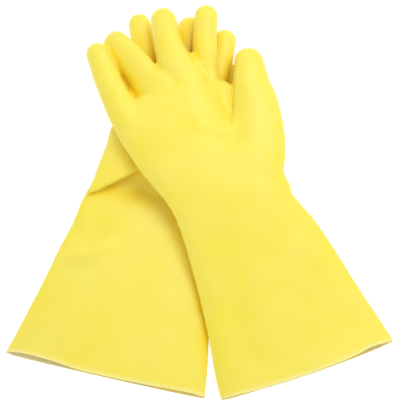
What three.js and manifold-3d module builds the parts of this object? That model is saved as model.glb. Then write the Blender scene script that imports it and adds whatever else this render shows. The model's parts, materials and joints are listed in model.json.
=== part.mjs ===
// A pair of household gauntlet gloves, thrown down palm up, the right one lying across the left.
// Each glove is one dipped latex shell with a flock lining. Both are divided at the lines where
// they flex: the wrist and the root of every finger stall.
// Millimetres, +Z up. In a glove's own frame Y runs from the hem to the fingertips and X across
// it, towards the thumb on the right glove and away from it on the left.
import * as THREE from 'three';
import { mergeVertices } from 'three/addons/utils/BufferGeometryUtils.js';
import Module from 'manifold-3d';

const wasm = await Module();
wasm.setup();

// Walls
const LATEX_WALL = 0.7;
const FLOCK_WALL = 0.4;
const SKIN_GAP = 0.3;      // between latex and flock
const FLEX_GAP = 0.3;      // between two pieces that meet at a flex line
const HEM_SETBACK = 1.5;   // flock stops this far inside the hem

// Gauntlet, the same mould for both hands
const GAUNTLET_LENGTH = 150;
const HEM_HALF_WIDTH = 80;
const HEM_OVERRUN = 5;     // the hollow runs this far out past the hem
const GAUNTLET_TAPER = 1.15; // above 1, so the gauntlet narrows faster near the hem
const WRIST_HALF_WIDTH = 49;
const WRIST_OFFSET = -7;   // the wrist's middle lies on the little finger's side of the axis

// Palm
const PALM_LENGTH = 122;
const PALM_HALF_WIDTH = 47;
const PALM_OFFSET = -26;
const THENAR_BULGE = 10;   // how far the heel of the thumb widens the palm
const THENAR_END = 0.75;   // and where on the palm's length that ends
const PALM_HALF_DEPTH = 10;
const WRIST_HALF_DEPTH = 9;
const HEM_HALF_DEPTH = 9;

// The lower glove's back is pressed flat on the floor, and the upper glove lies on its palm.
const FLATTENING = 0.6;
const STACK_GAP = 1.6;
const LOWER_HEIGHT = PALM_HALF_DEPTH - FLATTENING;
const UPPER_HEIGHT = LOWER_HEIGHT + 2 * PALM_HALF_DEPTH + STACK_GAP;
const HEM_HEIGHT = HEM_HALF_DEPTH - FLATTENING;

// How the two gloves lie: the turn of each glove's axis, and where its hem's inner corner is
const RIGHT_TURN = THREE.MathUtils.degToRad(21);
const RIGHT_HEM_CORNER = 18.3;
const RIGHT_HEM_ALONG = -152;
const LEFT_TURN = THREE.MathUtils.degToRad(-13);
const LEFT_HEM_CORNER = 4;
const LEFT_HEM_ALONG = -153;
const LEFT_WRIST_FOLD = 10; // the lower glove is pushed together by this much at its wrist

const BAND_SIDES = 20;
const STALL_SIDES = 8;
const BAND_STEPS = 5;
const SPINE_STEPS = 3;
const DOME_STEPS = 2;
const DOME_SWEEP = THREE.MathUtils.degToRad(80);
const FLEX_HALVINGS = 30;

const LATEX = { color: 0xfbe43f, roughness: 0.42, metalness: 0 };
const FLOCK = { color: 0xe9e6cf, roughness: 0.95, metalness: 0 };

// Finger stalls on the mould. Root, bend and tip are points of the middle line: across from the
// glove's axis and along from the wrist. The tip is the middle of the rounded end. The stall is
// divided from the hand at the length "flex" along from the wrist, clear of the palm.
const LITTLE_EDGE = PALM_OFFSET - PALM_HALF_WIDTH;
const THUMB_EDGE = PALM_OFFSET + PALM_HALF_WIDTH;
const STALL_HALF_DEPTH = 9.5;
const STALLS = {
  little: {
    root: [LITTLE_EDGE + 12, 92],
    bend: [LITTLE_EDGE + 7.5, 130],
    tip: [LITTLE_EDGE + 5.5, 164],
    half: [12, 10.5],
    flex: PALM_LENGTH + 2,
  },
  ring: {
    root: [PALM_OFFSET - 6, 96],
    bend: [PALM_OFFSET - 12.5, 134],
    tip: [PALM_OFFSET - 19, 170],
    half: [12.5, 11],
    flex: PALM_LENGTH + 17,
  },
  middle: {
    root: [PALM_OFFSET + 19, 100],
    bend: [PALM_OFFSET + 20, 140],
    tip: [PALM_OFFSET + 23, 174],
    half: [13, 11.5],
    flex: PALM_LENGTH + 20,
  },
  index: {
    root: [THUMB_EDGE - 9, 90],
    bend: [THUMB_EDGE - 1, 130],
    tip: [THUMB_EDGE + 13, 163],
    half: [12, 10.5],
    flex: PALM_LENGTH + 9,
  },
  thumb: {
    root: [THUMB_EDGE + 13, 40],
    bend: [THUMB_EDGE + 23, 76],
    tip: [THUMB_EDGE + 29, 113],
    half: [14.5, 14],
    flex: 86,
  },
};

// On the left glove the thumb lies closer in, the index leans out and the little one curls.
const LEFT_STALLS = {
  little: {
    root: [LITTLE_EDGE + 13, 92],
    bend: [LITTLE_EDGE + 15, 126],
    tip: [LITTLE_EDGE + 14, 151],
    half: [11.5, 10],
    flex: PALM_LENGTH + 2,
  },
  ring: {
    ...STALLS.ring,
    bend: [PALM_OFFSET - 7, 134],
    tip: [PALM_OFFSET - 7.5, 168],
    half: [11.5, 10],
  },
  middle: STALLS.middle,
  index: {
    ...STALLS.index,
    bend: [THUMB_EDGE + 4, 126],
    tip: [THUMB_EDGE + 22.5, 166],
    half: [11.5, 9.5],
  },
  thumb: {
    root: [THUMB_EDGE + 11, 40],
    bend: [THUMB_EDGE + 19, 72],
    tip: [THUMB_EDGE + 22, 100],
    half: [14, 13],
    flex: 80,
  },
};

function solid(geometry) {
  geometry.deleteAttribute('normal');
  geometry.deleteAttribute('uv');
  const welded = mergeVertices(geometry, 1e-5);
  const mesh = new wasm.Mesh({
    numProp: 3,
    vertProperties: new Float32Array(welded.attributes.position.array),
    triVerts: new Uint32Array(welded.index.array),
  });
  return new wasm.Manifold(mesh);
}

function geometryOf(body) {
  const { vertProperties, triVerts } = body.getMesh();
  const geometry = new THREE.BufferGeometry();
  geometry.setAttribute('position', new THREE.BufferAttribute(new Float32Array(vertProperties), 3));
  geometry.setIndex(new THREE.BufferAttribute(new Uint32Array(triVerts), 1));
  const faceted = geometry.toNonIndexed();
  faceted.computeVertexNormals();
  return faceted;
}

// A closed skin of oval rings. Each ring has a middle, a direction across, a half-width and a
// half-depth; the rings are upright.
function skin(rings, sides) {
  const geometry = new THREE.CylinderGeometry(1, 1, 1, sides, rings.length - 1);
  const place = geometry.attributes.position;
  for (let i = 0; i < place.count; i += 1) {
    const ring = rings[Math.round((0.5 + place.getY(i)) * (rings.length - 1))];
    const across = ring.across.clone().multiplyScalar(place.getX(i) * ring.halfWidth);
    const point = ring.middle.clone().add(across);
    point.z += place.getZ(i) * ring.halfDepth;
    place.setXYZ(i, point.x, point.y, point.z);
  }
  return solid(geometry);
}

// A box that holds everything on one side of an upright plane through "point".
function beyond(point, along, back) {
  const reach = 600;
  const box = new THREE.BoxGeometry(reach, reach, reach);
  box.translate(0, reach / 2 - back, 0);
  box.rotateZ(Math.atan2(-along.x, along.y));
  box.translate(point.x, point.y, 0);
  return solid(box);
}

function aboveFloor(inset) {
  const reach = 900;
  const box = new THREE.BoxGeometry(reach, reach, reach);
  box.translate(0, 0, reach / 2 + inset);
  return solid(box);
}

function smooth(t) {
  return THREE.MathUtils.smoothstep(t, 0, 1);
}

// Gauntlet and palm as one band from the hem to the knuckles.
function bandRings(glove, inset) {
  const acrossX = new THREE.Vector3(1, 0, 0);
  const rings = [];
  const add = (along, middle, height, halfWidth, halfDepth) => {
    rings.push({
      middle: new THREE.Vector3(glove.side * middle, along, height),
      across: acrossX,
      halfWidth: halfWidth - inset,
      halfDepth: halfDepth - inset,
    });
  };
  if (inset > 0) {
    add(-HEM_OVERRUN, 0, HEM_HEIGHT, HEM_HALF_WIDTH, HEM_HALF_DEPTH);
  }
  for (let i = 0; i <= BAND_STEPS; i += 1) {
    const t = i / BAND_STEPS;
    add(
      t * glove.wrist,
      WRIST_OFFSET * smooth(t),
      THREE.MathUtils.lerp(HEM_HEIGHT, glove.height, t),
      THREE.MathUtils.lerp(HEM_HALF_WIDTH, WRIST_HALF_WIDTH, 1 - (1 - t) ** GAUNTLET_TAPER),
      THREE.MathUtils.lerp(HEM_HALF_DEPTH, WRIST_HALF_DEPTH, t),
    );
  }
  for (let i = 1; i <= BAND_STEPS; i += 1) {
    const t = i / BAND_STEPS;
    const bulge = THENAR_BULGE * Math.sin(Math.PI * Math.min(1, t / THENAR_END)) ** 2;
    add(
      glove.wrist + t * (PALM_LENGTH - PALM_HALF_DEPTH),
      THREE.MathUtils.lerp(WRIST_OFFSET, PALM_OFFSET, smooth(t)) + glove.thenar * bulge / 2,
      glove.height,
      THREE.MathUtils.lerp(WRIST_HALF_WIDTH, PALM_HALF_WIDTH, t) + bulge / 2,
      THREE.MathUtils.lerp(WRIST_HALF_DEPTH, PALM_HALF_DEPTH, smooth(t)),
    );
  }
  const knuckles = rings[rings.length - 1];
  return [...rings, ...domeRings(knuckles, new THREE.Vector3(0, 1, 0), PALM_HALF_DEPTH - inset)];
}

// The rings of a dome of the given length that rounds off one end ring.
function domeRings(end, along, length) {
  const rings = [];
  for (let i = 1; i <= DOME_STEPS; i += 1) {
    const angle = DOME_SWEEP * i / DOME_STEPS;
    rings.push({
      middle: end.middle.clone().addScaledVector(along, length * Math.sin(angle)),
      across: end.across,
      halfWidth: end.halfWidth - length * (1 - Math.cos(angle)),
      halfDepth: end.halfDepth * Math.cos(angle),
    });
  }
  return rings;
}

function stallSpine(glove, stall) {
  const point = ([across, along]) => (
    new THREE.Vector3(glove.side * across, glove.wrist + along, glove.height)
  );
  return new THREE.CatmullRomCurve3([point(stall.root), point(stall.bend), point(stall.tip)]);
}

function stallRings(glove, stall, inset) {
  const spine = stallSpine(glove, stall);
  const up = new THREE.Vector3(0, 0, 1);
  const rings = [];
  for (let i = 0; i <= SPINE_STEPS; i += 1) {
    const t = i / SPINE_STEPS;
    const half = THREE.MathUtils.lerp(stall.half[0], stall.half[1], t) - inset;
    rings.push({
      middle: spine.getPoint(t),
      across: spine.getTangent(t).cross(up).normalize(),
      halfWidth: half,
      halfDepth: Math.min(half, STALL_HALF_DEPTH - inset),
    });
  }
  const rootLength = stall.half[0] - inset;
  const rootDome = domeRings(rings[0], spine.getTangent(0).negate(), rootLength).reverse();
  const tipDome = domeRings(rings[SPINE_STEPS], spine.getTangent(1), stall.half[1] - inset);
  return [...rootDome, ...rings, ...tipDome];
}

// Where a stall leaves the hand: the point of its middle line at the flex length, and the way on.
function flexPoint(glove, stall) {
  const spine = stallSpine(glove, stall);
  const target = glove.wrist + stall.flex;
  let low = 0;
  let high = 1;
  for (let i = 0; i < FLEX_HALVINGS; i += 1) {
    const t = (low + high) / 2;
    if (spine.getPoint(t).y < target) {
      low = t;
    } else {
      high = t;
    }
  }
  return { point: spine.getPoint(low), along: spine.getTangent(low) };
}

// The space inside one glove's skin at a depth "inset", as its three kinds of piece.
function forms(glove, inset) {
  const floor = aboveFloor(inset);
  const band = skin(bandRings(glove, inset), BAND_SIDES).intersect(floor);
  const stalls = {};
  for (const [name, stall] of Object.entries(glove.stalls)) {
    stalls[name] = skin(stallRings(glove, stall, inset), STALL_SIDES).intersect(floor);
  }
  return { band, stalls };
}

// One layer of the glove, between the depths "outer" and "inner", cut into its pieces.
function layerPieces(glove, outer, inner, setback) {
  const outside = forms(glove, outer);
  const inside = forms(glove, inner);
  const wrist = new THREE.Vector3(0, glove.wrist, 0);
  const ahead = new THREE.Vector3(0, 1, 0);
  const pieces = {};

  const hem = beyond(new THREE.Vector3(0, setback, 0), ahead, 0);
  const pastWrist = beyond(wrist, ahead, FLEX_GAP / 2);
  pieces.gauntlet = outside.band.intersect(hem).subtract(pastWrist).subtract(inside.band);

  let hand = outside.band;
  let hollow = inside.band;
  for (const [name, stall] of Object.entries(glove.stalls)) {
    const { point, along } = flexPoint(glove, stall);
    const pastFlex = beyond(point, along, 0);
    const beforeGap = beyond(point, along, FLEX_GAP);
    pieces[`${name}_stall`] = outside.stalls[name].intersect(pastFlex).subtract(inside.stalls[name]);
    hand = hand.add(outside.stalls[name].subtract(beforeGap));
    hollow = hollow.add(inside.stalls[name]);
  }
  const pastWristGap = beyond(wrist, ahead, -FLEX_GAP / 2);
  pieces.hand = hand.intersect(pastWristGap).subtract(hollow);
  return pieces;
}

// Hinge groups: one at the wrist and one at the root of each stall, on the palm-side skin. A
// group's X axis is its hinge, and turning about it lifts the piece.
function hingeGroup(point, along) {
  const group = new THREE.Group();
  group.position.copy(point);
  group.rotation.z = Math.atan2(-along.x, along.y);
  return group;
}

function hingeGroups(glove) {
  const groups = { hand: new THREE.Group() };
  const top = glove.height + WRIST_HALF_DEPTH;
  const wrist = new THREE.Vector3(glove.side * WRIST_OFFSET, glove.wrist, top);
  groups.gauntlet = hingeGroup(wrist, new THREE.Vector3(0, -1, 0));
  for (const [name, stall] of Object.entries(glove.stalls)) {
    const { point, along } = flexPoint(glove, stall);
    point.z += STALL_HALF_DEPTH;
    groups[`${name}_stall`] = hingeGroup(point, along);
  }
  return groups;
}

function addPieces(groups, gloveName, pieces, rename, look) {
  for (const [name, body] of Object.entries(pieces)) {
    const group = groups[name];
    group.updateMatrix();
    const geometry = geometryOf(body);
    geometry.applyMatrix4(group.matrix.clone().invert());
    const mesh = new THREE.Mesh(geometry, new THREE.MeshStandardMaterial(look));
    mesh.name = `${gloveName}_${rename(name)}`;
    group.add(mesh);
  }
}

function makeGlove(glove) {
  const group = new THREE.Group();
  const hinges = hingeGroups(glove);
  const flockOut = LATEX_WALL + SKIN_GAP;
  const latex = layerPieces(glove, 0, LATEX_WALL, 0);
  const flock = layerPieces(glove, flockOut, flockOut + FLOCK_WALL, HEM_SETBACK);
  addPieces(hinges, glove.name, latex, (name) => name, LATEX);
  addPieces(hinges, glove.name, flock, (name) => `${name.replace('_stall', '')}_lining`, FLOCK);
  group.add(...Object.values(hinges));
  group.position.x = glove.hemCorner + glove.side * HEM_HALF_WIDTH * Math.cos(glove.turn);
  group.position.y = glove.hemAlong;
  group.rotation.z = glove.turn;
  return group;
}

const rightGlove = {
  name: 'right',
  side: 1,
  stalls: STALLS,
  thenar: 1,
  wrist: GAUNTLET_LENGTH,
  height: UPPER_HEIGHT,
  hemCorner: RIGHT_HEM_CORNER,
  hemAlong: RIGHT_HEM_ALONG,
  turn: RIGHT_TURN,
};

const leftGlove = {
  name: 'left',
  side: -1,
  stalls: LEFT_STALLS,
  thenar: 0,
  wrist: GAUNTLET_LENGTH - LEFT_WRIST_FOLD,
  height: LOWER_HEIGHT,
  hemCorner: LEFT_HEM_CORNER,
  hemAlong: LEFT_HEM_ALONG,
  turn: LEFT_TURN,
};

const gloves = new THREE.Group();
gloves.add(makeGlove(leftGlove), makeGlove(rightGlove));

// The origin is the middle of the pair's footprint, on the floor.
const bounds = new THREE.Box3().setFromObject(gloves);
const middle = bounds.getCenter(new THREE.Vector3());
gloves.position.set(-middle.x, -middle.y, -bounds.min.z);

export default gloves;
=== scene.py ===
import json
import math

import bpy
import numpy as np
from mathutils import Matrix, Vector


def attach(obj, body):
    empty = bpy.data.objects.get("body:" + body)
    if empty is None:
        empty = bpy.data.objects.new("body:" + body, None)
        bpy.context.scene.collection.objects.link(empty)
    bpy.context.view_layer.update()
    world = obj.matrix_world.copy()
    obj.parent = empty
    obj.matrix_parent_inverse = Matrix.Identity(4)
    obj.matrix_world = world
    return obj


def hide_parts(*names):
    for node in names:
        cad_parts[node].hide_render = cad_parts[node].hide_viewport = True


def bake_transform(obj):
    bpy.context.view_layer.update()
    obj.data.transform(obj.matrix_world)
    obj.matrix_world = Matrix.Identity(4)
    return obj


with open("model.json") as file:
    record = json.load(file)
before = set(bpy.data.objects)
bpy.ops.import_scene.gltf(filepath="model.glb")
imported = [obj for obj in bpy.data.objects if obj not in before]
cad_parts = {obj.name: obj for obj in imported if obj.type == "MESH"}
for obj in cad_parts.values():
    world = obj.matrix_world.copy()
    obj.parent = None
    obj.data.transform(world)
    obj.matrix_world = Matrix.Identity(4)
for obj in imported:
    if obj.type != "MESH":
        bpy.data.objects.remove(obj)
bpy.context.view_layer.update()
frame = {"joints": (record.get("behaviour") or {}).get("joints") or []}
MM = 0.001

# ---------------------------------------------------------------------------------------------
# Latex shells.
# A household glove is one skin of natural rubber latex, made by dipping a porcelain hand in
# liquid latex, so it has no seam, and its fingers keep the former's plump, round shape.
# Lengths here are in millimetres in the glove's own frame: across from its axis towards the
# thumb, along from the hem towards the fingertips, and up from the floor.
# ---------------------------------------------------------------------------------------------
LATEX_WALL = 0.55
SKIN_CELL = 1.3      # size of the faces that the skin is made of
WRIST_ALONG = {"right": 150.0, "left": 140.0}
WRIST_ACROSS = -7.0  # the wrist hinge's place across the axis


def flowing(at, value, t):
    """A cubic through every (at, value): each point's slope is the mean of its neighbours'."""
    at, value = np.asarray(at, float), np.asarray(value, float)
    slope = np.gradient(value, at)
    i = np.clip(np.searchsorted(at, t) - 1, 0, len(at) - 2)
    h = at[i + 1] - at[i]
    s = (t - at[i]) / h
    rise = value[i] * (1 + 2 * s) * (1 - s) ** 2 + value[i + 1] * s * s * (3 - 2 * s)
    return rise + h * (slope[i] * s * (1 - s) ** 2 - slope[i + 1] * s * s * (1 - s))


def ovals(middle, across, half_width, half_depth, squareness, sides):
    """A closed skin of oval rings carried along a path. Round each ring by the angle a, a point
    is middle + across * half_width * cos(a)^(2/n) + up * half_depth * sin(a)^(2/n), where n is
    the squareness, 2 for an ellipse; a point in the middle of each end closes it."""
    rows = len(middle)
    a = np.linspace(0, 2 * np.pi, sides, endpoint=False)
    n = np.broadcast_to(np.asarray(squareness, float), (rows,))[:, None]
    cos = np.sign(np.cos(a)) * np.abs(np.cos(a)) ** (2 / n)
    sin = np.sign(np.sin(a)) * np.abs(np.sin(a)) ** (2 / n)
    points = middle[:, None, :] + across[:, None, :] * (half_width[:, None] * cos)[..., None]
    points[..., 2] += half_depth[:, None] * sin
    points = np.vstack([points.reshape(-1, 3), middle[:1], middle[-1:]])
    ring = np.arange(sides)
    after = (ring + 1) % sides
    row = (np.arange(rows - 1) * sides)[:, None]
    wall = np.stack([row + ring, row + after, row + sides + after, row + sides + ring], -1)
    start = np.stack([after, ring, np.full(sides, rows * sides)], -1)
    last = (rows - 1) * sides
    end = np.stack([last + ring, last + after, np.full(sides, rows * sides + 1)], -1)
    return points, [wall.reshape(-1, 4).tolist(), start.tolist(), end.tolist()]


def rounded(length, start, end, rows):
    """Stations from -start to length + end, close together at both ends, and the share of its
    full size that each has: over each end it falls as a quarter circle, sqrt(1 - s * s)."""
    s = -start + (length + start + end) * (1 - np.cos(np.linspace(0, np.pi, rows))) / 2
    share = np.ones(rows)
    if start:
        share = np.where(s < 0, np.sqrt(np.clip(1 - (s / start) ** 2, 0, 1)), share)
    if end:
        share = np.where(s > length, np.sqrt(np.clip(1 - ((s - length) / end) ** 2, 0, 1)), share)
    return s, np.clip(share, 0.02, 1)


def limb(path, half_width, half_depth, lean=0.0, squareness=2.15, start=None, rows=72,
         sides=44):
    """A finger: ovals carried along a smooth line through the path's points, with round ends.
    The tip's round is as long as its half-width. The lean lifts the ovals' right by that share
    of the way across, and lowers their left."""
    path = np.asarray(path, float)
    knots = np.r_[0, np.cumsum(np.linalg.norm(np.diff(path[:, :2], axis=0), axis=1))]
    tip = half_width[-1]
    s, share = rounded(knots[-1], half_width[0] if start is None else start, tip, rows)
    inside = np.clip(s, 0, knots[-1])
    middle = np.stack([flowing(knots, path[:, k], inside) for k in range(3)], -1)
    step = 0.5
    ahead = np.clip(inside + step, 0, knots[-1])
    behind = np.clip(inside - step, 0, knots[-1])
    way = np.stack([flowing(knots, path[:, k], ahead) - flowing(knots, path[:, k], behind)
                    for k in range(3)], -1)
    way /= np.linalg.norm(way, axis=1)[:, None]
    middle += way * (s - inside)[:, None]
    across = np.stack([way[:, 1], -way[:, 0], np.zeros(len(s))], -1)
    across /= np.linalg.norm(across, axis=1)[:, None]
    across[:, 2] = lean
    wide = np.interp(inside, knots, half_width) * share
    deep = np.interp(inside, knots, half_depth) * share
    return ovals(middle, across, wide, deep, squareness, sides)


def panel(little_edge, thumb_edge, height, half_depth, squareness, end, start=0.0, lean=0.0,
          rows=110, sides=96):
    """Gauntlet, palm or heel: ovals whose width runs from a line along the little finger's edge
    to a line along the thumb's edge. Both are smooth lines through as many points. The lean
    lifts the thumb's edge by that share of the way across."""
    little_edge, thumb_edge = np.asarray(little_edge, float), np.asarray(thumb_edge, float)
    centre = (little_edge + thumb_edge) / 2
    knots = np.r_[0, np.cumsum(np.linalg.norm(np.diff(centre, axis=0), axis=1))]
    s, share = rounded(knots[-1], start, end, rows)
    t = np.clip(s, 0, knots[-1])
    left = np.stack([flowing(knots, little_edge[:, k], t) for k in range(2)], -1)
    right = np.stack([flowing(knots, thumb_edge[:, k], t) for k in range(2)], -1)
    across = (right - left) / np.linalg.norm(right - left, axis=1)[:, None]
    out = np.stack([-across[:, 1], across[:, 0]], -1) * (s - t)[:, None]
    middle = np.column_stack([(left + right) / 2 + out, flowing(knots, height, t)])
    wide = np.linalg.norm(right - left, axis=1) / 2 - (1 - share) * max(start, end)
    deep = flowing(knots, half_depth, t) * share
    n = flowing(knots, squareness, t)
    return ovals(middle, np.column_stack([across, np.full(len(s), lean)]), wide, deep, n, sides)


def band(along, little_edge, thumb_edge, **shape):
    """A panel whose ovals are square to the glove's axis."""
    return panel(list(zip(little_edge, along)), list(zip(thumb_edge, along)), **shape)


# Each finger: the points of its middle line, and its half-widths and half-depths there.
FINGERS = {
    "right": {
        "little": ([(-62, 236, 31), (-64.2, 262, 32.5), (-66.8, 292, 34), (-67.4, 317, 33.5)],
                   [13.4, 13.8, 11.6, 9.6], [10, 10.4, 10.6, 10]),
        "ring": ([(-34, 240, 30), (-36.8, 276, 28), (-41.6, 300, 28), (-48.6, 321, 29)],
                 [14.6, 16, 14, 11], [10.4, 10.6, 10.4, 10], 0.3),
        "middle": ([(-7, 235, 32), (-6, 268, 33.2), (-6.8, 300, 33), (-3.2, 326.2, 32)],
                   [19, 19, 13.6, 11], [10.6, 10.8, 10.6, 10.2]),
        "index": ([(9, 240, 27), (14, 266, 26.5), (22.5, 294, 28), (33, 316.7, 30)],
                  [10, 11.2, 11.2, 10.2], [8.6, 9, 9.6, 9.8]),
        "thumb": ([(16.5, 166, 31), (29, 188, 31.4), (37.5, 208, 31.6), (43.4, 228, 32),
                   (46, 244, 32), (52, 264.4, 31)],
                  [25.4, 24.8, 22.4, 19.4, 16.8, 13], [10.4, 11.2, 11.6, 11.6, 11, 10.2]),
    },
    "left": {
        "little": ([(-55, 232, 10), (-57, 258, 10), (-57.4, 291, 10)],
                   [12, 11.8, 11], [9.6, 9.6, 9.3]),
        "ring": ([(-30, 235, 10), (-32, 270, 10), (-32, 309, 10)],
                 [12.5, 12, 10.2], [9.6, 9.6, 9.3]),
        "middle": ([(-6, 235, 10), (-3.5, 270, 10), (0, 312.5, 10)],
                   [14, 13.5, 11.6], [9.8, 9.8, 9.4]),
        "index": ([(12, 238, 10), (22, 262, 10), (34, 285, 10), (44.6, 307.3, 9.6)],
                  [12, 12, 11.6, 9.8], [9.6, 9.6, 9.4, 9]),
        "thumb": ([(24.5, 200, 11), (25, 214, 10.5), (34, 232, 10.2), (42, 245, 10)],
                  [22, 21.5, 16, 13], [9.4, 9.8, 9.8, 9.4]),
    },
}


def right_glove_forms():
    """The upper glove's gauntlet climbs from the floor onto the other glove, and its web joins
    the thumb to the palm. They and the palm and fingers are blended into one skin later."""
    gauntlet = band(
        along=[-14, 8, 54, 89, 118, 142, 159, 172],
        little_edge=[-76, -74, -66, -61, -58, -56, -56, -58],
        thumb_edge=[80, 76.6, 66.8, 60, 52.8, 44, 43, 43.4],
        height=[9.3, 9.6, 15, 20, 24.5, 28.5, 30.5, 31.5],
        half_depth=[9.6, 9.6, 9.2, 8.8, 8.8, 9.4, 10, 10.5],
        squareness=[2.2] * 8, end=12)
    palm = band(
        along=[150, 159, 172, 190, 205, 219, 240, 258],
        little_edge=[-56, -56, -58, -64, -69, -72, -76, -77],
        thumb_edge=[44.4, 44, 43.4, 40, 33, 24, 17, 14],
        height=[30, 30.5, 31, 31.3, 31.5, 31.5, 31.5, 31.5],
        half_depth=[9, 9.8, 10.6, 11.2, 11.4, 11.2, 10.8, 10.4],
        squareness=[2.3] * 8, start=16, end=11)
    knuckles = band(
        along=[236, 256, 277],
        little_edge=[-48, -46, -42],
        thumb_edge=[10, 9, 5],
        height=[31.5, 31.5, 31.5],
        half_depth=[10.8, 10.8, 10.4],
        squareness=[2.3] * 3, start=10, end=9)
    web = limb([(14, 200, 29), (19, 222, 27.5), (22, 240, 26.5), (22, 252, 26)],
               [18, 15, 12, 9], [8, 7, 6.4, 6])
    ring_flank = limb([(-50, 238, 22.5), (-51, 264, 22), (-52.5, 292, 22)], [9, 9, 7.5], [4.4] * 3)
    return [gauntlet, palm, knuckles, web, ring_flank]


def left_glove_forms():
    """The lower glove lies flat, and its hand is pushed back over the gauntlet, so the heel of
    the thumb overhangs it in a fold across the wrist."""
    gauntlet = band(
        along=[-14, 3, 23, 60, 93, 126, 150, 168, 182],
        little_edge=[-88, -85, -82, -75.6, -67.5, -60, -57, -56, -56],
        thumb_edge=[88, 84.6, 79.6, 71, 64.4, 57.4, 54, 48, 42],
        height=[6.8, 7, 7.4, 8, 8, 7, 5.6, 5, 5],
        half_depth=[6.8, 7, 7.3, 7.8, 7.6, 6.4, 5.2, 4.6, 4.4],
        squareness=[2.2] * 9, end=10)
    palm = band(
        along=[192, 205, 222, 240, 256],
        little_edge=[-58, -62, -66.5, -68.5, -67.5],
        thumb_edge=[36, 32, 26, 20, 15],
        height=[10.2] * 5,
        half_depth=[9.8, 10, 10, 9.8, 9.6],
        squareness=[2.3] * 5, start=15, end=10)
    heel = panel(
        little_edge=[(-8, 195.5), (-7, 202), (-5, 209), (0, 219), (4, 230)],
        thumb_edge=[(51.5, 147.5), (51, 155), (49.6, 168), (46.6, 192), (45, 214)],
        height=[15.8, 15, 13.2, 11.5, 10.5],
        half_depth=[3.2, 4.6, 7.2, 9.2, 9.4],
        squareness=[2.3] * 5, start=3, end=10, lean=-0.08)
    wrist = band(
        along=[158, 176, 200],
        little_edge=[-55, -56, -60],
        thumb_edge=[8, 20, 34],
        height=[5, 7.5, 10],
        half_depth=[5, 7.5, 9.5],
        squareness=[2.2] * 3, start=22, end=10)
    return [gauntlet, palm, heel, wrist]


GLOVE_FORMS = {"right": right_glove_forms, "left": left_glove_forms}
joints = {j["name"]: j for j in frame["joints"]}


def glove_place(side):
    """Where a glove lies: the middle of its hem on the floor, and its three directions, worked
    out from its wrist hinge. The hinge turns about the line across the glove."""
    wrist = joints[f"{side}_wrist_bend"]
    turn = -np.array(wrist["axis"], float)
    along = np.array([-turn[1], turn[0], 0])
    across = turn if side == "right" else -turn
    corner = np.array(wrist["pos_m"], float)
    corner -= across * WRIST_ACROSS * MM + along * WRIST_ALONG[side] * MM
    corner[2] = 0
    return corner, across, along


def to_floor(side, points):
    """Points in a glove's own millimetres, in metres where the glove lies."""
    corner, across, along = glove_place(side)
    up = np.array([0, 0, 1.0])
    return corner + MM * (points[:, :1] * across + points[:, 1:2] * along + points[:, 2:] * up)


def to_glove(side, points):
    """The opposite of to_floor."""
    corner, across, along = glove_place(side)
    return (points - corner) @ np.stack([across, along, [0, 0, 1.0]], -1) / MM


def blended_skin(side):
    """One smooth closed skin round all of a glove's forms, as points and four-sided faces."""
    mesh = bpy.data.meshes.new(f"{side}_form")
    points, faces = [], []
    count = 0
    for form, groups in GLOVE_FORMS[side]() + [limb(*f) for f in FINGERS[side].values()]:
        points.append(form)
        for group in groups:
            faces += (np.array(group) + count).tolist()
        count += len(form)
    mesh.from_pydata(np.vstack(points).tolist(), [], faces)
    obj = bpy.data.objects.new(f"{side}_form", mesh)
    bpy.context.scene.collection.objects.link(obj)
    remesh = obj.modifiers.new("one_skin", "REMESH")
    remesh.mode = "VOXEL"
    remesh.voxel_size = SKIN_CELL
    smooth = obj.modifiers.new("soften", "SMOOTH")
    smooth.factor = 0.5
    smooth.iterations = 12
    graph = bpy.context.evaluated_depsgraph_get()
    final = obj.evaluated_get(graph).to_mesh()
    co = np.empty(len(final.vertices) * 3)
    final.vertices.foreach_get("co", co)
    corners = np.empty(len(final.loops), np.int64)
    final.loops.foreach_get("vertex_index", corners)
    quads = corners.reshape(-1, 4)
    bpy.data.objects.remove(obj)
    return co.reshape(-1, 3), quads




def along_line(line, points, width):
    """How near each point lies to a smooth line drawn on the glove, seen from above: its
    distance across the line over the width, with its sign, and its place along it, 0 to 1."""
    line = np.asarray(line, float)
    knots = np.r_[0, np.cumsum(np.linalg.norm(np.diff(line, axis=0), axis=1))]
    t = np.linspace(0, knots[-1], 48)
    path = np.stack([flowing(knots, line[:, k], t) for k in range(2)], -1)
    gap = points[:, None, :2] - path[None]
    nearest = np.argmin((gap ** 2).sum(-1), 1)
    gap = gap[np.arange(len(points)), nearest]
    way = np.gradient(path, axis=0)[nearest]
    way /= np.linalg.norm(way, axis=1)[:, None]
    side = way[:, 0] * gap[:, 1] - way[:, 1] * gap[:, 0]
    beyond = np.abs((gap * way).sum(1))
    return np.sign(side) * np.hypot(side, beyond) / width, t[nearest] / knots[-1]


def palm_side(normals):
    """1 where the skin faces up, 0 where it faces down, and a soft change on its edges."""
    return np.clip(0.5 + normals[:, 2] * 1.2, 0, 1)


def fold(points, normals, line, depth, width, taper=0.3):
    """A valley pressed into the palm side along a line, or a ridge where the depth is negative:
    depth * exp(-d * d), fading out over the first and last part of the line."""
    d, t = along_line(line, points, width)
    fade = np.clip(t / taper, 0, 1) * np.clip((1 - t) / taper, 0, 1)
    fade = fade * fade * (3 - 2 * fade)
    return -depth * np.exp(-d * d) * fade * palm_side(normals)


def step(points, normals, line, depth, width, taper=0.2):
    """A lower bank on the line's right, seen along it, that rises back to the skin over the
    width: depth * exp(d) on that side, with a narrow lip on the other."""
    d, t = along_line(line, points, width)
    fade = np.clip(t / taper, 0, 1) * np.clip((1 - t) / taper, 0, 1)
    bank = np.where(d < 0, np.exp(d), np.exp(-(d * 4) ** 2))
    return -depth * bank * fade * palm_side(normals)


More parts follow.
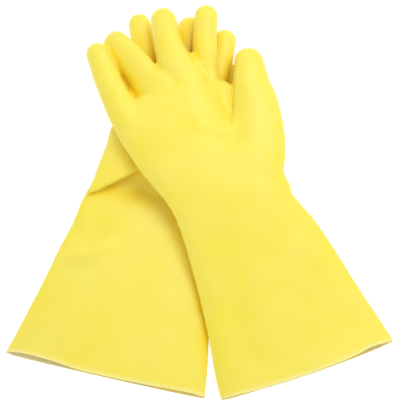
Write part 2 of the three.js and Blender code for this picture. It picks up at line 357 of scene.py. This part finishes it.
def hollow(points, normals, middle, reach, depth):
    """A round dent, or a swelling where the depth is negative: depth * exp(-d * d), where d is
    the distance from its middle over its reach across and along."""
    d = (points[:, :2] - np.asarray(middle, float)) / np.asarray(reach, float)
    return -depth * np.exp(-(d ** 2).sum(1)) * palm_side(normals)


def unevenness(points, normals, phase):
    """The soft waves of a loose skin: five sine waves that run different ways across the glove,
    21 to 63 mm long."""
    x, y = points[:, 0], points[:, 1]
    total = np.zeros(len(points))
    for k, (length, turn) in enumerate([(63, 0.4), (47, 1.7), (38, 2.9), (29, 0.9), (21, 2.2)]):
        wave = 2 * np.pi * (x * math.cos(turn) + y * math.sin(turn)) / length
        total += np.sin(wave + phase + 1.9 * k) * length / 260
    return total * palm_side(normals)


def right_glove_relief(points, normals):
    """The upper glove's folds, dents and swellings."""
    push = 0.7 * unevenness(points, normals, 0.3)
    push += step(points, normals, [(20, 254), (10, 275), (6, 316)], 3.4, 9)
    push += step(points, normals, [(-45, 252), (-52, 274), (-55, 295)], 2.0, 7, 0.3)
    push += step(points, normals, [(41, 276), (28, 245), (14, 212)], 4.2, 8, 0.2)
    push += fold(points, normals, [(34, 264), (27, 245), (20, 226)], -1.2, 3)
    push += fold(points, normals, [(-24, 292), (-22, 281), (-10, 270)], 1.4, 3)
    push += fold(points, normals, [(-16, 240), (0, 217), (22, 209)], -1.3, 6)
    push += hollow(points, normals, (9, 203), (14, 8), 1.5)
    push += hollow(points, normals, (-16, 267), (5, 3), 0.9)
    push += hollow(points, normals, (12, 257), (6, 4), 0.8)
    push += fold(points, normals, [(48, 226), (40, 190), (37, 154)], 1.1, 6, 0.45)
    push += fold(points, normals, [(44, 150), (30, 160), (15, 176)], 0.9, 7, 0.4)
    push += fold(points, normals, [(-33, 170), (-32, 110), (-44, 14)], 1.4, 12, 0.2)
    push += hollow(points, normals, (40, 46), (26, 34), 1.2)
    return push


def left_glove_relief(points, normals):
    """The lower glove's folds, dents and swellings."""
    push = 0.7 * unevenness(points, normals, 2.1)
    push += fold(points, normals, [(58, 88), (36, 96), (17, 116)], -2.6, 6)
    push += fold(points, normals, [(62, 106), (42, 114), (30, 134)], 2, 9)
    push += fold(points, normals, [(58, 80), (40, 82), (22, 86)], 0.7, 5)
    push += hollow(points, normals, (-20, 60), (30, 40), 1.2)
    push += hollow(points, normals, (14, 161), (26, 11), 5.4) * (points[:, 2] < 13)
    push += hollow(points, normals, (4, 164), (12, 6), 2.6) * (points[:, 2] < 13)
    return push


RELIEF = {"right": right_glove_relief, "left": left_glove_relief}


def relaxed(points, quads, weight, times):
    """Each point moves by its weight towards the mean of its neighbours, many times over."""
    ahead = np.concatenate([quads[:, k] for k in range(4)])
    behind = np.concatenate([quads[:, (k + 1) % 4] for k in range(4)])
    count = np.bincount(ahead, minlength=len(points))[:, None]
    share = weight[:, None]
    for _ in range(times):
        total = np.stack([np.bincount(ahead, points[behind, k], len(points)) for k in range(3)], -1)
        points = points + share * (total / np.maximum(count, 1) - points)
    return points


def palm_softness(side, points, normals):
    """Where the palm side of a glove is one even surface: 1 on the gauntlet and in the palm's
    middle, 0 at its edges and on the fingers, and on the lower glove 0 from the wrist on."""
    across, along = points[:, 0], points[:, 1]
    level = np.clip((normals[:, 2] - 0.3) / 0.3, 0, 1)
    if side == "left":
        return level * np.clip((132 - along) / 20, 0, 1)
    crack = np.clip(np.hypot((across - 20) / 14, (along - 242) / 30), 0, 1) ** 2
    fingers = np.interp(across, [-70, -48, -34, -23, -8, 16, 40, 50],
                        [262, 250, 285, 272, 282, 262, 246, 262])
    after = np.clip((fingers - along) / 18, 0, 1)
    return level * crack * after


def vertex_normals(points, quads):
    """Each point's normal: the sum of its faces' cross products, to length one."""
    face = np.cross(points[quads[:, 2]] - points[quads[:, 0]], points[quads[:, 3]] - points[quads[:, 1]])
    total = np.zeros_like(points)
    for k in range(quads.shape[1]):
        np.add.at(total, quads[:, k], face)
    return total / np.maximum(np.linalg.norm(total, axis=1), 1e-9)[:, None]


def pressed_flat(points, floor=0.08, softness=1.6):
    """The floor carries the skin: heights close in on it as softness * log(1 + e^(z / softness))."""
    flat = points.copy()
    z = (points[:, 2] - floor) / softness
    flat[:, 2] = floor + softness * np.logaddexp(0, z) - softness * np.log(2) * np.exp(-np.abs(z))
    return flat


# The hem, along the glove at a place across it: where its lower side ends, how far back its
# upper side ends from that, and both in points across.
HEMS = {
    "right": ([-80, -40, 0, 40, 80], [5.4, 2.6, 0.2, -0.8, -0.6],
              [-75, -60, -40, 0, 30, 45, 57, 70, 80],
              [0.6, -0.4, -1.6, -1.7, -1.2, 0, 1.7, 1, 0.5]),
    "left": ([-90, -40, 0, 40, 90], [0.2, -0.2, -0.4, -0.5, -0.3],
             [-85, -70, -40, -10, 20, 45, 65, 85],
             [1.5, 1.4, 0, -0.8, -0.8, 1.8, 2.6, 2]),
}


def past_hem(side, points):
    """How far along from the hem each point lies."""
    across, along, above, back = HEMS[side]
    upper = np.clip((points[:, 2] - 4) / 6, 0, 1)
    line = flowing(across, along, np.clip(points[:, 0], across[0], across[-1]))
    return points[:, 1] - line - upper * np.interp(points[:, 0], above, back)


PARTS = ["gauntlet", "thumb", "index", "middle", "ring", "little", "hand"]


def joint_place(side, part):
    """A hinge's place and the level way on from it, in the glove's own millimetres."""
    hinge = joints[f"{side}_{'wrist' if part == 'gauntlet' else part}_bend"]
    corner, across, along = glove_place(side)
    turn = np.array(hinge["axis"], float)
    way = np.array([-turn[1], turn[0], 0])
    place = to_glove(side, np.array([hinge["pos_m"]], float))[0]
    return place, np.array([way @ across, way @ along, 0])


FINGER_REACH = 1.3   # half-widths from its middle line within which skin is a finger's


def nearest_finger(side, points):
    """For each point, the number in PARTS of the finger whose middle line is nearest, measured
    in its own half-widths, or the hand's where every finger is beyond its reach."""
    best = np.full(len(points), FINGER_REACH)
    label = np.full(len(points), PARTS.index("hand"))
    for name, (path, half_width, *_) in FINGERS[side].items():
        path = np.asarray(path, float)[:, :2]
        knots = np.r_[0, np.cumsum(np.linalg.norm(np.diff(path, axis=0), axis=1))]
        t = np.linspace(0, knots[-1], 24)
        line = np.stack([flowing(knots, path[:, k], t) for k in range(2)], -1)
        wide = np.interp(t, knots, half_width)
        d = np.linalg.norm(points[:, None, :2] - line, axis=2) / wide
        d = d.min(1)
        label[d < best] = PARTS.index(name)
        best = np.minimum(best, d)
    return label


def divided(side, points, quads):
    """Trim the skin at its hem and divide it at its flex lines: a label for each face kept. The
    points along each cut move onto its plane, so that the cut is straight."""
    middle = points[quads].mean(1)
    over_hem = past_hem(side, points)
    quads = quads[past_hem(side, middle) > 0]
    middle = points[quads].mean(1)
    label = np.full(len(quads), PARTS.index("hand"))
    finger = nearest_finger(side, middle)
    place, way = joint_place(side, "gauntlet")
    label[(middle - place) @ way > 0] = PARTS.index("gauntlet")
    for part in PARTS[1:-1]:
        spot, way = joint_place(side, part)
        label[((middle - spot) @ way > 0) & (finger == PARTS.index(part))] = PARTS.index(part)
    points = points.copy()
    used = np.zeros(len(points), int)
    np.add.at(used, quads.ravel(), 1)
    edge = (np.abs(over_hem) < 2 * SKIN_CELL) & (used > 0) & (used < 4)
    points[edge, 1] -= over_hem[edge]
    for number, part in enumerate(PARTS[:-1]):
        spot, way = joint_place(side, part)
        inside = np.zeros(len(points), bool)
        outside = np.zeros(len(points), bool)
        inside[quads[label == number].ravel()] = True
        outside[quads[label == PARTS.index("hand")].ravel()] = True
        off = (points - spot) @ way
        cut = inside & outside & (np.abs(off) < 2 * SKIN_CELL)
        points[cut] -= off[cut][:, None] * way
    return points, quads, label


def wall(points, normals, quads, outer, inner):
    """A closed wall between the depths outer and inner under the skin: both faces, and a rim of
    four-sided faces along every open edge."""
    used, quads = np.unique(quads, return_inverse=True)
    quads = quads.reshape(-1, 4)
    p, n = points[used], normals[used]
    count = len(p)
    edges = np.stack([quads, np.roll(quads, -1, axis=1)], -1).reshape(-1, 2)
    key = edges.min(1) * count + edges.max(1)
    _, first, times = np.unique(key, return_index=True, return_counts=True)
    rim = edges[first[times == 1]]
    rim = np.stack([rim[:, 1], rim[:, 0], rim[:, 0] + count, rim[:, 1] + count], -1)
    faces = np.vstack([quads, quads[:, ::-1] + count, rim])
    return np.vstack([p - outer * n, p - inner * n]), faces, np.vstack([n, -n])


def piece(name, side, points, faces, normals):
    """A mesh object of four-sided faces, where the glove lies, shaded as part of one skin."""
    if side == "left":
        faces = faces[:, ::-1]
    corner, across, along = glove_place(side)
    normals = normals @ np.stack([across, along, [0, 0, 1.0]])
    mesh = bpy.data.meshes.new(name)
    mesh.vertices.add(len(points))
    mesh.vertices.foreach_set("co", to_floor(side, points).ravel())
    mesh.loops.add(faces.size)
    mesh.loops.foreach_set("vertex_index", faces.ravel().astype(np.int32))
    mesh.polygons.add(len(faces))
    mesh.polygons.foreach_set("loop_start", np.arange(0, faces.size, 4, dtype=np.int32))
    mesh.update(calc_edges=True)
    mesh.validate()
    mesh.shade_smooth()
    mesh.normals_split_custom_set_from_vertices(normals.astype(np.float32))
    obj = bpy.data.objects.new(name, mesh)
    bpy.context.scene.collection.objects.link(obj)
    return obj


def positions(obj):
    """A mesh's points as rows."""
    co = np.empty(len(obj.data.vertices) * 3)
    obj.data.vertices.foreach_get("co", co)
    return co.reshape(-1, 3)


PALM_SMOOTHINGS = 90
HEM_FADE = 25        # the colours change within this far of the hem

# ---------------------------------------------------------------------------------------------
# Latex colour: a clear strong yellow with a soft shine, a little light passing through it.
# The compound is one colour all through, so only its thickness and the light change it; below, the shade
# in its crevices and a sheen at its hem are painted into its base colour.
# ---------------------------------------------------------------------------------------------
latex = bpy.data.materials.new("latex")
latex.use_nodes = True
nodes, links = latex.node_tree.nodes, latex.node_tree.links
shader = nodes["Principled BSDF"]
shader.inputs["Roughness"].default_value = 0.46
shader.inputs["Specular IOR Level"].default_value = 0.5
shader.inputs["Sheen Weight"].default_value = 0.18
shader.inputs["Sheen Roughness"].default_value = 0.5
shader.inputs["Subsurface Weight"].default_value = 0.2
shader.inputs["Subsurface Radius"].default_value = (1, 0.6, 0.1)
shader.inputs["Subsurface Scale"].default_value = 0.004
# Painted shade: where ambient occlusion finds a crevice, the base colour turns a deeper orange and,
# deepest in, dark brown, standing in for the shade and the yellow light bounced between the walls there.
crevice_occlusion = nodes.new("ShaderNodeAmbientOcclusion")
crevice_occlusion.samples = 8
crevice_occlusion.inputs["Distance"].default_value = 0.02
painted_crevice_shade = nodes.new("ShaderNodeValToRGB")
painted_crevice_shade.color_ramp.elements[0].position = 0.05
painted_crevice_shade.color_ramp.elements[0].color = (0.62, 0.33, 0.0, 1)
painted_crevice_shade.color_ramp.elements[1].position = 0.85
painted_crevice_shade.color_ramp.elements[1].color = (0.985, 0.785, 0.07, 1)
half_shade_stop = painted_crevice_shade.color_ramp.elements.new(0.4)
half_shade_stop.color = (1.0, 0.74, 0.0, 1)
links.new(crevice_occlusion.outputs["AO"], painted_crevice_shade.inputs["Fac"])
place = nodes.new("ShaderNodeTexCoord")
clouds = nodes.new("ShaderNodeTexNoise")
clouds.inputs["Scale"].default_value = 28
clouds.inputs["Detail"].default_value = 3
links.new(place.outputs["Object"], clouds.inputs["Vector"])
mottle = nodes.new("ShaderNodeMapRange")
mottle.inputs["From Min"].default_value = 0.3
mottle.inputs["From Max"].default_value = 0.7
mottle.inputs["To Min"].default_value = 0.97
mottle.inputs["To Max"].default_value = 1.02
links.new(clouds.outputs["Fac"], mottle.inputs["Value"])
tone = nodes.new("ShaderNodeHueSaturation")
links.new(mottle.outputs["Result"], tone.inputs["Saturation"])
links.new(painted_crevice_shade.outputs["Color"], tone.inputs["Color"])
# Painted sheen: within about four millimetres of the hem the base colour is mixed towards a pale cream.
from_hem = nodes.new("ShaderNodeAttribute")
from_hem.attribute_name = "from_hem"
painted_hem_sheen = nodes.new("ShaderNodeMapRange")
painted_hem_sheen.inputs["From Min"].default_value = 0.03
painted_hem_sheen.inputs["From Max"].default_value = 0.16
painted_hem_sheen.inputs["To Min"].default_value = 0.6
painted_hem_sheen.inputs["To Max"].default_value = 0
links.new(from_hem.outputs["Fac"], painted_hem_sheen.inputs["Value"])
hem_sheen_mix = nodes.new("ShaderNodeMix")
hem_sheen_mix.data_type = "RGBA"
hem_sheen_mix.inputs["B"].default_value = (0.92, 0.84, 0.36, 1)
links.new(painted_hem_sheen.outputs["Result"], hem_sheen_mix.inputs["Factor"])
links.new(tone.outputs["Color"], hem_sheen_mix.inputs["A"])
links.new(hem_sheen_mix.outputs["Result"], shader.inputs["Base Color"])
grain = nodes.new("ShaderNodeTexNoise")
grain.inputs["Scale"].default_value = 900
grain.inputs["Detail"].default_value = 2
links.new(place.outputs["Object"], grain.inputs["Vector"])
dimpling = nodes.new("ShaderNodeBump")
dimpling.inputs["Strength"].default_value = 0.12
dimpling.inputs["Distance"].default_value = 0.0004
links.new(grain.outputs["Fac"], dimpling.inputs["Height"])
links.new(dimpling.outputs["Normal"], shader.inputs["Normal"])

# ---------------------------------------------------------------------------------------------
# Flock linings.
# Short cotton fibres blown onto wet adhesive inside the latex, a matt cream layer that stops
# just inside the hem. Deeper in, light that has come through the latex turns it yellow.
# ---------------------------------------------------------------------------------------------
LINING_SKIN = 0.2    # between latex and lining
LINING_WALL = 0.4
LINING_SETBACK = 1.5
flock = bpy.data.materials.new("flock")
flock.use_nodes = True
shader = flock.node_tree.nodes["Principled BSDF"]
shader.inputs["Roughness"].default_value = 0.95
from_hem = flock.node_tree.nodes.new("ShaderNodeAttribute")
from_hem.attribute_name = "from_hem"
inner_glow = flock.node_tree.nodes.new("ShaderNodeValToRGB")
inner_glow.color_ramp.elements[0].position = 0.05
inner_glow.color_ramp.elements[0].color = (0.86, 0.83, 0.68, 1)
inner_glow.color_ramp.elements[1].position = 0.2
inner_glow.color_ramp.elements[1].color = (0.93, 0.72, 0.06, 1)
flock.node_tree.links.new(from_hem.outputs["Fac"], inner_glow.inputs["Fac"])
flock.node_tree.links.new(inner_glow.outputs["Color"], shader.inputs["Base Color"])

# ---------------------------------------------------------------------------------------------
# The pieces of both gloves.
# Each glove's skin is shaped whole and then divided at its flex lines. Latex and lining share the
# divisions, and the hand's pieces of both are attached to the hand's body.
# ---------------------------------------------------------------------------------------------
for side in ("left", "right"):
    skin, quads = blended_skin(side)
    skin_normals = vertex_normals(skin, quads)
    skin = relaxed(skin, quads, palm_softness(side, skin, skin_normals), PALM_SMOOTHINGS)
    skin_normals = vertex_normals(skin, quads)
    skin = skin + skin_normals * RELIEF[side](skin, skin_normals)[:, None]
    skin = pressed_flat(skin)
    skin_normals = vertex_normals(skin, quads)
    skin, quads, label = divided(side, skin, quads)
    hem_room = past_hem(side, skin[quads].mean(1))
    hand = f"{side}_hand"
    for number, part in enumerate(PARTS):
        node = f"{side}_{part}" if part in ("hand", "gauntlet") else f"{side}_{part}_stall"
        shell = piece(f"{node}_latex", side,
                      *wall(skin, skin_normals, quads[label == number], 0, LATEX_WALL))
        depth = LATEX_WALL + LINING_SKIN
        kept = quads[(label == number) & (hem_room > LINING_SETBACK)]
        lining = piece(f"{side}_{part}_flock", side,
                       *wall(skin, skin_normals, kept, depth, depth + LINING_WALL))
        for obj in (shell, lining):
            inward = np.clip(past_hem(side, to_glove(side, positions(obj))) / HEM_FADE, 0, 1)
            fade = obj.data.attributes.new("from_hem", "FLOAT", "POINT")
            fade.data.foreach_set("value", inward)
        shell.data.materials.append(latex)
        lining.data.materials.append(flock)
        for obj, stands_for, finish in ((shell, node, "latex"),
                                        (lining, f"{side}_{part}_lining", "flock")):
            if part == "hand":
                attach(obj, hand)
            else:
                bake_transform(obj)
            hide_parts(stands_for)

# ---------------------------------------------------------------------------------------------
# Studio: a pale floor, an even white sky and one large soft light, and a camera looking down.
# ---------------------------------------------------------------------------------------------
bpy.ops.mesh.primitive_plane_add(size=6, location=(0, 0, 0))
floor = bpy.context.object
floor.name = "floor"
paper = bpy.data.materials.new("paper")
paper.use_nodes = True
shader = paper.node_tree.nodes["Principled BSDF"]
shader.inputs["Base Color"].default_value = (0.5, 0.5, 0.5, 1)
shader.inputs["Roughness"].default_value = 1.0
shader.inputs["Specular IOR Level"].default_value = 0.0
shader.inputs["Emission Color"].default_value = (1, 1, 1, 1)
shader.inputs["Emission Strength"].default_value = 0.75
floor.data.materials.append(paper)

world = bpy.data.worlds.new("sky")
world.use_nodes = True
world.node_tree.nodes["Background"].inputs["Color"].default_value = (1, 1, 1, 1)
world.node_tree.nodes["Background"].inputs["Strength"].default_value = 0.8
bpy.context.scene.world = world

LIGHT_AT = Vector((0.32, 0.5, 1.14))
soft = bpy.data.lights.new("soft_light", "AREA")
soft.shape = "DISK"
soft.size = 0.8
soft.energy = 6
soft_light = bpy.data.objects.new("soft_light", soft)
soft_light.location = LIGHT_AT
soft_light.rotation_euler = LIGHT_AT.to_track_quat("Z", "Y").to_euler()
bpy.context.scene.collection.objects.link(soft_light)

ELEVATION = math.radians(75)
DISTANCE = 1.25
WIDTH_SEEN = 0.34    # across the view, at the gloves
TARGET = Vector((-0.003, 0.0032, 0.012))
lens = bpy.data.cameras.new("camera")
lens.sensor_width = 36
lens.lens = 36 * DISTANCE / WIDTH_SEEN
back_to_camera = Vector((0, -math.cos(ELEVATION), math.sin(ELEVATION)))
camera = bpy.data.objects.new("camera", lens)
camera.location = TARGET + back_to_camera * DISTANCE
camera.rotation_euler = back_to_camera.to_track_quat("Z", "Y").to_euler()
bpy.context.scene.collection.objects.link(camera)
bpy.context.scene.camera = camera
bpy.context.scene.view_settings.view_transform = "Standard"
